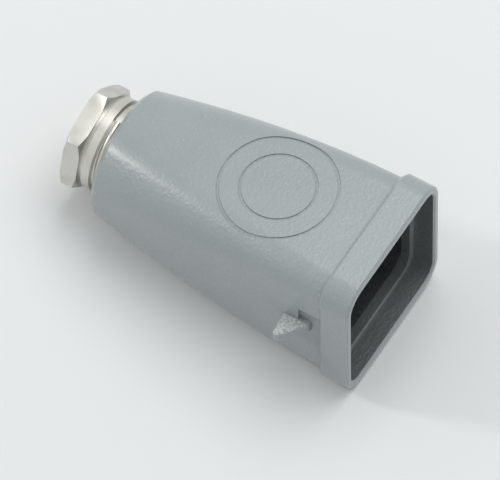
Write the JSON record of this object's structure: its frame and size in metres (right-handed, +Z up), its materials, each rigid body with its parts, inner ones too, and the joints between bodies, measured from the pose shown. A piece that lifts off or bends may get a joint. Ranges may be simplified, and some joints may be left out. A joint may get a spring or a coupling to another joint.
{
  "type": "connector hood",
  "caption": "Cable hood for a square heavy-duty connector: tapered cast shell with open mouth, latch lugs and a screwed cable gland.",
  "frame": {"origin": "centre of the mouth plane, on the hood's axis", "axes": "+X along the axis, out of the mouth; +Y and +Z square to the walls; +Z up as the hood lies on its side"},
  "size_m": [0.0537, 0.0328, 0.0264],
  "materials": {
    "coated_casting": "grey textured powder coat",
    "nickel_plate": "bright nickel plate on brass",
    "washer_metal": "zinc-plated steel",
    "seal_rubber": "black rubber"
  },
  "bodies": {
    "hood": {"hood_shell": "coated_casting", "sealing_ring": "seal_rubber", "back_washer": "washer_metal"},
    "washer": {"thrust_washer": "washer_metal"},
    "screw": {"pressure_screw": "nickel_plate"}
  },
  "joints": [
    {"name": "screw_advance", "type": "slide", "parent": "hood", "child": "washer", "axis": [-1, 0, 0], "range_m": [0, 0.00424]},
    {"name": "screw_turn", "type": "hinge", "parent": "washer", "child": "screw", "pos_m": [-0.0406, 0, 0], "axis": [-1, 0, 0], "range_deg": [0, 1080]}
  ],
  "couplings": [
    {"joint": "screw_advance", "follows": "screw_turn", "m_per_rad": 0.00022441}
  ]
}
